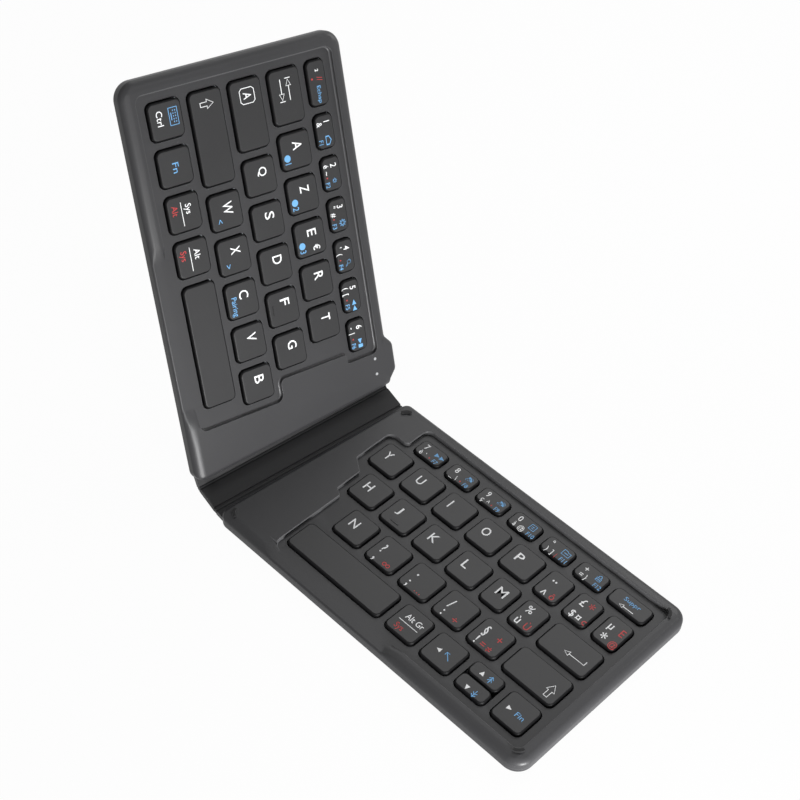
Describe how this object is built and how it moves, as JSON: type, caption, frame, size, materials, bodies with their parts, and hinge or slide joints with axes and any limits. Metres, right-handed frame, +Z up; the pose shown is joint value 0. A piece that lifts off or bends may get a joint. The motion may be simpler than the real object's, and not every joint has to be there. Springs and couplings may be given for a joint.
{
  "type": "folding keyboard",
  "caption": "Pocket keyboard in two angled halves that fold together like a book on a flexible spine band",
  "frame": {"origin": "on the underside of the right half, in the middle of its plan, where it stands on the table", "axes": "+Z up, +Y to the rear along the fold line, +X to the right of a typist; the left half is raised about the fold"},
  "size_m": [0.2257, 0.1049, 0.1398],
  "materials": {
    "case": "satin dark grey",
    "caps": "satin dark grey, legends on top",
    "band": "soft matt elastomer",
    "core": "matt",
    "black_rubber": "matt",
    "plate": "plain",
    "port_metal": "plain",
    "pouch": "foil",
    "board": "solder mask",
    "light_guide": "clear to milky",
    "dome_rubber": "translucent silicone",
    "link_plastic": "plain",
    "film": "clear film"
  },
  "bodies": {
    "right_half": {"right_bottom_cover": "case", "right_grips": "black_rubber", "right_plate": "plate", "right_membrane": "film", "right_domes": "dome_rubber", "right_scissors": "link_plastic", "right_top_case": "case", "right_fold_lip": "band", "right_bumpers": "black_rubber"},
    "spine": {"spine_core": "core", "spine_band": "band"},
    "left_half": {"left_bottom_cover": "case", "left_grips": "black_rubber", "left_plate": "plate", "left_membrane": "film", "left_domes": "dome_rubber", "left_scissors": "link_plastic", "left_top_case": "case", "left_fold_lip": "band", "battery": "pouch", "controller_board": "board", "charge_port": "port_metal", "status_lights": "light_guide"},
    "right_number_caps": {"right_number_caps": "caps"},
    "right_upper_caps": {"right_upper_caps": "caps"},
    "right_home_caps": {"right_home_caps": "caps"},
    "right_lower_caps": {"right_lower_caps": "caps"},
    "backspace_key": {"backspace_key": "caps"},
    "enter_key": {"enter_key": "caps"},
    "right_shift_key": {"right_shift_key": "caps"},
    "right_space_key": {"right_space_key": "caps"},
    "alt_gr_key": {"alt_gr_key": "caps"},
    "arrow_left_key": {"arrow_left_key": "caps"},
    "arrow_up_key": {"arrow_up_key": "caps"},
    "arrow_down_key": {"arrow_down_key": "caps"},
    "arrow_right_key": {"arrow_right_key": "caps"},
    "left_number_caps": {"left_number_caps": "caps"},
    "left_upper_caps": {"left_upper_caps": "caps"},
    "left_home_caps": {"left_home_caps": "caps"},
    "left_lower_caps": {"left_lower_caps": "caps"},
    "escape_key": {"escape_key": "caps"},
    "tab_key": {"tab_key": "caps"},
    "caps_lock_key": {"caps_lock_key": "caps"},
    "left_shift_key": {"left_shift_key": "caps"},
    "ctrl_key": {"ctrl_key": "caps"},
    "fn_key": {"fn_key": "caps"},
    "system_key": {"system_key": "caps"},
    "alt_key": {"alt_key": "caps"},
    "left_space_key": {"left_space_key": "caps"}
  },
  "joints": [
    {"name": "spine_fold", "type": "hinge", "parent": "right_half", "child": "spine", "pos_m": [-0.07399, 0, 0.00125], "axis": [0, 1, 0], "range_deg": [-14.3, 75.7]},
    {"name": "left_fold", "type": "hinge", "parent": "spine", "child": "left_half", "pos_m": [-0.08441, 0, 0.00391], "axis": [0, 1, 0], "range_deg": [-49.8, 40.2]},
    {"name": "right_number_caps_press", "type": "slide", "parent": "right_half", "child": "right_number_caps", "axis": [0, 0, -1], "range_m": [0, 0.0012], "stiffness_N_per_m": 400, "springref_m": -0.0005, "deforming": ["right_domes", "right_scissors"]},
    {"name": "right_upper_caps_press", "type": "slide", "parent": "right_half", "child": "right_upper_caps", "axis": [0, 0, -1], "range_m": [0, 0.0012], "stiffness_N_per_m": 400, "springref_m": -0.0005, "deforming": ["right_domes", "right_scissors"]},
    {"name": "right_home_caps_press", "type": "slide", "parent": "right_half", "child": "right_home_caps", "axis": [0, 0, -1], "range_m": [0, 0.0012], "stiffness_N_per_m": 400, "springref_m": -0.0005, "deforming": ["right_domes", "right_scissors"]},
    {"name": "right_lower_caps_press", "type": "slide", "parent": "right_half", "child": "right_lower_caps", "axis": [0, 0, -1], "range_m": [0, 0.0012], "stiffness_N_per_m": 400, "springref_m": -0.0005, "deforming": ["right_domes", "right_scissors"]},
    {"name": "backspace_press", "type": "slide", "parent": "right_half", "child": "backspace_key", "axis": [0, 0, -1], "range_m": [0, 0.0012], "stiffness_N_per_m": 150, "springref_m": -0.0005, "deforming": ["right_domes", "right_scissors"]},
    {"name": "enter_press", "type": "slide", "parent": "right_half", "child": "enter_key", "axis": [0, 0, -1], "range_m": [0, 0.0012], "stiffness_N_per_m": 150, "springref_m": -0.0005, "deforming": ["right_domes", "right_scissors"]},
    {"name": "right_shift_press", "type": "slide", "parent": "right_half", "child": "right_shift_key", "axis": [0, 0, -1], "range_m": [0, 0.0012], "stiffness_N_per_m": 150, "springref_m": -0.0005, "deforming": ["right_domes", "right_scissors"]},
    {"name": "right_space_press", "type": "slide", "parent": "right_half", "child": "right_space_key", "axis": [0, 0, -1], "range_m": [0, 0.0012], "stiffness_N_per_m": 150, "springref_m": -0.0005, "deforming": ["right_domes", "right_scissors"]},
    {"name": "alt_gr_press", "type": "slide", "parent": "right_half", "child": "alt_gr_key", "axis": [0, 0, -1], "range_m": [0, 0.0012], "stiffness_N_per_m": 150, "springref_m": -0.0005, "deforming": ["right_domes", "right_scissors"]},
    {"name": "arrow_left_press", "type": "slide", "parent": "right_half", "child": "arrow_left_key", "axis": [0, 0, -1], "range_m": [0, 0.0012], "stiffness_N_per_m": 150, "springref_m": -0.0005, "deforming": ["right_domes", "right_scissors"]},
    {"name": "arrow_up_press", "type": "slide", "parent": "right_half", "child": "arrow_up_key", "axis": [0, 0, -1], "range_m": [0, 0.0012], "stiffness_N_per_m": 150, "springref_m": -0.0005, "deforming": ["right_domes", "right_scissors"]},
    {"name": "arrow_down_press", "type": "slide", "parent": "right_half", "child": "arrow_down_key", "axis": [0, 0, -1], "range_m": [0, 0.0012], "stiffness_N_per_m": 150, "springref_m": -0.0005, "deforming": ["right_domes", "right_scissors"]},
    {"name": "arrow_right_press", "type": "slide", "parent": "right_half", "child": "arrow_right_key", "axis": [0, 0, -1], "range_m": [0, 0.0012], "stiffness_N_per_m": 150, "springref_m": -0.0005, "deforming": ["right_domes", "right_scissors"]},
    {"name": "left_number_caps_press", "type": "slide", "parent": "left_half", "child": "left_number_caps", "axis": [-0.8996, 0, -0.4368], "range_m": [0, 0.0012], "stiffness_N_per_m": 400, "springref_m": -0.0005, "deforming": ["left_domes", "left_scissors"]},
    {"name": "left_upper_caps_press", "type": "slide", "parent": "left_half", "child": "left_upper_caps", "axis": [-0.8996, 0, -0.4368], "range_m": [0, 0.0012], "stiffness_N_per_m": 400, "springref_m": -0.0005, "deforming": ["left_domes", "left_scissors"]},
    {"name": "left_home_caps_press", "type": "slide", "parent": "left_half", "child": "left_home_caps", "axis": [-0.8996, 0, -0.4368], "range_m": [0, 0.0012], "stiffness_N_per_m": 400, "springref_m": -0.0005, "deforming": ["left_domes", "left_scissors"]},
    {"name": "left_lower_caps_press", "type": "slide", "parent": "left_half", "child": "left_lower_caps", "axis": [-0.8996, 0, -0.4368], "range_m": [0, 0.0012], "stiffness_N_per_m": 400, "springref_m": -0.0005, "deforming": ["left_domes", "left_scissors"]},
    {"name": "escape_press", "type": "slide", "parent": "left_half", "child": "escape_key", "axis": [-0.8996, 0, -0.4368], "range_m": [0, 0.0012], "stiffness_N_per_m": 150, "springref_m": -0.0005, "deforming": ["left_domes", "left_scissors"]},
    {"name": "tab_press", "type": "slide", "parent": "left_half", "child": "tab_key", "axis": [-0.8996, 0, -0.4368], "range_m": [0, 0.0012], "stiffness_N_per_m": 150, "springref_m": -0.0005, "deforming": ["left_domes", "left_scissors"]},
    {"name": "caps_lock_press", "type": "slide", "parent": "left_half", "child": "caps_lock_key", "axis": [-0.8996, 0, -0.4368], "range_m": [0, 0.0012], "stiffness_N_per_m": 150, "springref_m": -0.0005, "deforming": ["left_domes", "left_scissors"]},
    {"name": "left_shift_press", "type": "slide", "parent": "left_half", "child": "left_shift_key", "axis": [-0.8996, 0, -0.4368], "range_m": [0, 0.0012], "stiffness_N_per_m": 150, "springref_m": -0.0005, "deforming": ["left_domes", "left_scissors"]},
    {"name": "ctrl_press", "type": "slide", "parent": "left_half", "child": "ctrl_key", "axis": [-0.8996, 0, -0.4368], "range_m": [0, 0.0012], "stiffness_N_per_m": 150, "springref_m": -0.0005, "deforming": ["left_domes", "left_scissors"]},
    {"name": "fn_press", "type": "slide", "parent": "left_half", "child": "fn_key", "axis": [-0.8996, 0, -0.4368], "range_m": [0, 0.0012], "stiffness_N_per_m": 150, "springref_m": -0.0005, "deforming": ["left_domes", "left_scissors"]},
    {"name": "system_press", "type": "slide", "parent": "left_half", "child": "system_key", "axis": [-0.8996, 0, -0.4368], "range_m": [0, 0.0012], "stiffness_N_per_m": 150, "springref_m": -0.0005, "deforming": ["left_domes", "left_scissors"]},
    {"name": "alt_press", "type": "slide", "parent": "left_half", "child": "alt_key", "axis": [-0.8996, 0, -0.4368], "range_m": [0, 0.0012], "stiffness_N_per_m": 150, "springref_m": -0.0005, "deforming": ["left_domes", "left_scissors"]},
    {"name": "left_space_press", "type": "slide", "parent": "left_half", "child": "left_space_key", "axis": [-0.8996, 0, -0.4368], "range_m": [0, 0.0012], "stiffness_N_per_m": 150, "springref_m": -0.0005, "deforming": ["left_domes", "left_scissors"]}
  ]
}
